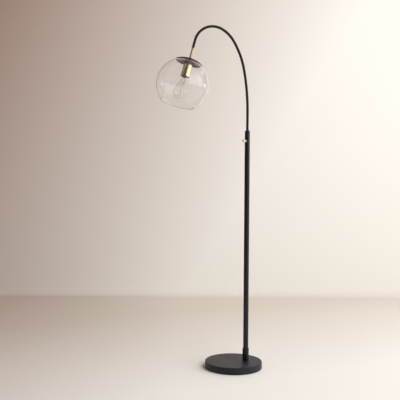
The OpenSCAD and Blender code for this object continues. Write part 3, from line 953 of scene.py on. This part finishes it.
def bulb_base():
    """The rolled screw shell of the bulb, crimped on to the glass."""
    start = BULB_NECK_W
    top = start + 21
    crimp = [(12.6, start), (12.95, start + 0.3), (12.95, start + 1.2), (12.75, start + 1.9)]
    rows = [(BULB_SHELL_R, start + 2.6 + k * 0.4) for k in range(45)]
    end = [(12.6, top), (9, top + 3), (6, top + 3), (6, top + 2.5), (8.6, top + 2.5)]
    inside = [(12, top - 0.4), (12, start + 3), (12.55, start + 1.5)]
    obj = lathe("bulb_screw_shell", crimp + rows + end + inside, HEAD, 84,
                shape=thread(E26_PITCH, 0.75, on=BULB_SHELL_R), sharp=50)
    return piece(obj, "bulb", "bulb_shell", "bulb_base")


def bulb_stem():
    """The glass mount: a flare sealed to the neck, a tube, a flattened press and a thin rod."""
    press_w, press_half = 9, 7
    outline = rounded([
        (0, 42.8, 0), (11.4, 42.8, 0.3), (8.6, 39.5, 2), (4.6, 34, 3), (3.4, 20, 3), (3, 6, 2),
        (1.7, 1, 2), (1.5, -11, 0.6), (0, -12, 0),
    ], steps=5)

    def pressed(angle, r, z):
        squeeze = max(0, 1 - abs(z - press_w) / press_half)
        return r * (1 + 0.45 * squeeze * math.cos(2 * angle))

    obj = lathe("bulb_mount", split(outline, 3), HEAD, 48, shape=pressed, sharp=70)
    return piece(obj, "bulb", "bulb_glass", "bulb_stem")


def filaments():
    """Four stick filaments with metal ends, and the wires that hold them."""
    up = Vector((0, 0, 1))
    coated = (2.4, 8, 14, 20, 26, 32, STICK_LENGTH - 2.4)
    ferrules = ((0.9, 2.0), (STICK_LENGTH - 2.0, STICK_LENGTH - 0.9))
    sticks, wires = [], []
    for k in range(STICKS):
        turn = math.radians(360 / STICKS * (k + 0.5))
        out = Vector((math.cos(turn), math.sin(turn), 0))
        top = out * 4 - up * 8
        way = (out * math.sin(STICK_SPLAY) - up * math.cos(STICK_SPLAY)).normalized()
        foot = top + way * STICK_LENGTH
        sticks.append(tube("stick", [top + way * s for s in coated], STICK_R))
        for start, end in ferrules:
            wires.append(tube("ferrule", [top + way * start, top + way * end], 0.75, sides=12))
        lead = [up * 8 + out * 2.2, out * 3.2, out * 4.1 - up * 5, top + way]
        wires.append(tube("lead", lead, WIRE_R, sides=8))
        tie = [foot - way, foot + way - out, foot + way * 1.6 - out * 4,
               up * (foot.z - 1) + out * 1.5]
        wires.append(tube("tie", tie, WIRE_R, sides=8))
    hub = tube("hub", [up * w for w in (-10, -25, -38, -50.2)], 0.45, sides=10)
    piece(joined("filament_sticks", sticks, HEAD), "bulb", "filament", "bulb_filaments")
    piece(joined("filament_wires", wires + [hub], HEAD), "bulb", "tin", slot="bulb_shell")


# ---- CAD nodes that stay, with a better material ------------------------------------------

KEPT = {
    "bottom_plate": "zinc_steel", "bottom_plate_screws": "zinc_steel", "base_weight": "cast_iron",
    "terminal_block": "ivory_plastic", "terminal_block_screws": "zinc_steel",
    "base_lead": "wire_jacket", "hollow_stud": "zinc_steel", "stud_washer": "zinc_steel",
    "stud_nut": "zinc_steel", "pole_plug": "zinc_steel", "pole_coupler": "zinc_steel",
    "lower_guide": "nylon", "guide_rings": "zinc_steel", "arm_end_insert": "plain_brass",
    "arm_lead": "wire_jacket", "upper_gasket": "silicone", "lower_gasket": "silicone",
    "shade_retainer": "zinc_steel", "head_nipple": "zinc_steel", "cover_nut": "plain_brass",
    "lampholder_cap": "black_plastic", "lampholder_screws": "plain_brass",
    "centre_contact": "plain_brass", "lock_pad": "plain_brass", "bulb_insulator": "black_plastic",
    "bulb_contact": "tin",
}


def repaint_kept():
    for name, look_name in KEPT.items():
        for place in frame["nodes"][name].material_slots:
            place.material = looks[look_name]


# ---- the studio ---------------------------------------------------------------------------

CAMERA_BACK = 3032
CAMERA_ASIDE = -167.7
CAMERA_HEIGHT = 852.6
CAMERA_YAW = math.radians(15.70)
CAMERA_DIP = math.radians(0.758)
CAMERA_ROLL = math.radians(0.397)
# The lens, as a multiple of the sensor's width
FOCAL_WIDTHS = 1.5633
SENSOR_WIDTH = 36
# Level directions as the camera sees them, and up
AHEAD = Vector((math.sin(CAMERA_YAW), math.cos(CAMERA_YAW), 0))
RIGHT = Vector((AHEAD.y, -AHEAD.x, 0))
UP = Vector((0, 0, 1))

WALL_BEHIND = 2060
COVE_R = 60
COVE_STEPS = 16
# The paper's two colours are painted shade and painted light: the dark one where less light falls,
# the pale one where more falls. The third colour is the floor's painted shade.
PAPER_PAINTED_SHADE = (0.415, 0.285, 0.238)
PAPER_PAINTED_LIGHT = (0.882, 0.858, 0.812)
FLOOR_PAINTED_SHADE = (0.65, 0.50, 0.40)


def camera():
    data = bpy.data.cameras.new("camera")
    data.sensor_width = SENSOR_WIDTH
    data.lens = FOCAL_WIDTHS * SENSOR_WIDTH
    data.clip_end = 60
    obj = bpy.data.objects.new("camera", data)
    bpy.context.scene.collection.objects.link(obj)
    way = (AHEAD * math.cos(CAMERA_DIP) - UP * math.sin(CAMERA_DIP)).normalized()
    up = RIGHT.cross(way)
    side = RIGHT * math.cos(CAMERA_ROLL) + up * math.sin(CAMERA_ROLL)
    top = up * math.cos(CAMERA_ROLL) - RIGHT * math.sin(CAMERA_ROLL)
    turn = Matrix((side, top, -way)).transposed().to_4x4()
    spot = RIGHT * CAMERA_ASIDE - AHEAD * CAMERA_BACK + UP * CAMERA_HEIGHT
    obj.matrix_world = Matrix.Translation(spot * MM) @ turn
    bpy.context.scene.camera = obj


def backdrop_paper_painted_light():
    """Matt paper that can't be seen from behind, with painted light that makes it paler to the
    right and downwards.

    Its floor has painted shade, darker towards the wall and the left.
    """
    p = Paint("backdrop_paper_painted_light", Roughness=0.9, Specular_IOR_Level=0.1)
    height = p.along(p.at, UP)
    # Painted light: paler towards the right and downwards, as lamps on the right would make it; the
    # floor and the wall's foot are kept at least 0.55 of the way to pale.
    painted_light_ramp = p.spread(p.along(p.at, RIGHT - UP * 0.6), 0, 1, -3.3, -0.3)
    painted_light_near_floor = p.spread(height, 0.55, 0, 0.0, 0.4)
    paper = p.tint(p.maths("MAXIMUM", painted_light_ramp, painted_light_near_floor), PAPER_PAINTED_SHADE, PAPER_PAINTED_LIGHT, 0, 1)
    # Painted shade: the floor is multiplied darker towards the wall's foot and the left, up to 0.42
    # of the way to its shade tint, where less light falls.
    distance = p.spread(p.along(p.at, AHEAD - RIGHT * 0.5), 0, 1, -0.3, 1.5)
    floor = p.spread(height, 0.42, 0, 0.0, 0.06)
    shaded = p.node("Mix", data_type="RGBA", blend_type="MULTIPLY")
    shaded.inputs["B"].default_value = (*FLOOR_PAINTED_SHADE, 1)
    p.link(p.maths("MULTIPLY", distance, floor), shaded.inputs["Factor"])
    p.link(paper, shaded.inputs["A"])
    p.link(shaded.outputs["Result"], p.shader.inputs["Base Color"])
    p.bump(p.noise(500, 2), 0.05)
    behind = p.node("NewGeometry").outputs["Backfacing"]
    clear = p.node("BsdfTransparent").outputs["BSDF"]
    p.either(behind, p.shader.outputs["BSDF"], clear, p.surface)
    return p.mat


def backdrop():
    """A pale floor with a small cove up into a wall behind the lamp."""
    across = [-12000, -4500, -2500, -1200, 0, 1200, 2500, 4500, 12000]
    foot = WALL_BEHIND - COVE_R
    cove = [math.pi / 2 * k / COVE_STEPS for k in range(1, COVE_STEPS + 1)]
    profile = [(-12000, 0), (-4000, 0), (-1500, 0), (0, 0), (1200, 0), (foot, 0)]
    profile += [(foot + COVE_R * math.sin(a), COVE_R * (1 - math.cos(a))) for a in cove]
    profile += [(WALL_BEHIND, 1000), (WALL_BEHIND, 2500), (WALL_BEHIND, 9000)]
    points = [AHEAD * d + RIGHT * a + UP * z for d, z in profile for a in across]
    wide = len(across)
    faces = [(i * wide + k, i * wide + k + 1, (i + 1) * wide + k + 1, (i + 1) * wide + k)
             for i in range(len(profile) - 1) for k in range(wide - 1)]
    obj = mesh_object("backdrop", points, faces)
    obj.data.flip_normals()
    obj.data.materials.append(backdrop_paper_painted_light())


def area_light(name, spot, target, size, power, colour, mirrored=True):
    """A soft panel that faces target. One that isn't mirrored gives light but no reflection."""
    data = bpy.data.lights.new(name, "AREA")
    data.shape = "RECTANGLE"
    data.size, data.size_y = size
    data.energy = power
    data.color = colour
    obj = bpy.data.objects.new(name, data)
    bpy.context.scene.collection.objects.link(obj)
    spot, target = Vector(spot), Vector(target)
    turn = (target - spot).to_track_quat("-Z", "Y").to_matrix().to_4x4()
    obj.matrix_world = Matrix.Translation(spot) @ turn
    obj.visible_glossy = mirrored
    obj.visible_transmission = mirrored


def room():
    """A dim room: three upright strips of glow that fade upwards, and a soft ceiling.

    The camera sees it as plain and pale instead, also straight through clear glass.
    """
    world = bpy.data.worlds.new("room")
    world.use_nodes = True
    w = Nodes(world.node_tree)
    direction = w.node("TexCoord").outputs["Generated"]
    level = w.node("VectorMath", operation="MULTIPLY")
    w.link(direction, level.inputs[0])
    level.inputs[1].default_value = (1, 1, 0)
    compass = w.node("VectorMath", operation="NORMALIZE")
    w.link(level.outputs["Vector"], compass.inputs[0])

    def glow(source, way, start, end, strength):
        toward = w.along(source, Vector(way).normalized())
        return w.spread(toward, 0, strength, start, end, ease="SMOOTHSTEP")

    def strip(way, start, end, strength):
        return glow(compass.outputs["Vector"], way, start, end, strength)

    front_right = strip((0.669, -0.743, 0), 0.72, 0.92, 1.9)
    right = strip((0.996, -0.087, 0), 0.75, 0.95, 0.85)
    left = strip((-0.996, 0.099, 0), 0.68, 0.95, 0.42)
    strips = w.maths("ADD", w.maths("ADD", front_right, right), left)
    fade_up = w.maths("ADD", glow(direction, UP, 0.3, 0.8, -0.85), 1.0)
    ceiling = glow(direction, UP, 0.4, 0.9, 0.12)
    light = w.maths("ADD", w.maths("MULTIPLY", strips, fade_up), ceiling)
    mirrored = w.tree.nodes["Background"]
    mirrored.inputs["Color"].default_value = (1.0, 0.985, 0.97, 1)
    w.link(w.maths("ADD", light, 0.04), mirrored.inputs["Strength"])
    seen = w.node("Background")
    seen.inputs["Color"].default_value = (0.62, 0.60, 0.57, 1)

    path = w.node("LightPath")
    unmirrored = w.maths("LESS_THAN", path.outputs["Glossy Depth"], 0.5)
    through = w.maths("MULTIPLY", path.outputs["Is Transmission Ray"], unmirrored)
    straight = w.maths("MAXIMUM", path.outputs["Is Camera Ray"], through)
    w.either(straight, mirrored.outputs["Background"], seen.outputs["Background"],
             w.tree.nodes["World Output"].inputs["Surface"])
    bpy.context.scene.world = world


def lights():
    """Two small lights that glint on the right, and two soft panels, overhead and at the right."""
    head = (-0.26, 0.0, 1.36)
    glint = (1.0, 0.99, 0.98)
    area_light("window", (2.6, 0.15, 1.42), head, (1.1, 0.5), 3, glint)
    area_light("skylight", (2.1, 0.1, 2.9), head, (0.5, 0.4), 1.5, glint)
    area_light("overhead", (1.5, -2.4, 3.7), (0.0, 0.6, 0.6), (3.0, 3.0), 127, (1.0, 0.998, 0.99),
               mirrored=False)
    area_light("side", (3.4, -1.4, 1.6), (0.0, 0.2, 0.0), (1.8, 1.4), 13, (1.0, 0.995, 0.985),
               mirrored=False)
    bpy.context.scene.view_settings.view_transform = "Standard"


camera()
backdrop()
room()
lights()
for build in (
    base_cover, floor_pad, cord_grommet, pole_sleeve, sleeve_set_screw, pole, pole_top_bush,
    lock_boss, pole_lead, arm_tube, lock_screw, lock_knob, stem, stem_collar, shade_cap,
    globe_shade, socket_cover, lampholder_body, screw_shell, bulb_glass, bulb_base, bulb_stem,
    filaments, repaint_kept,
):
    build()
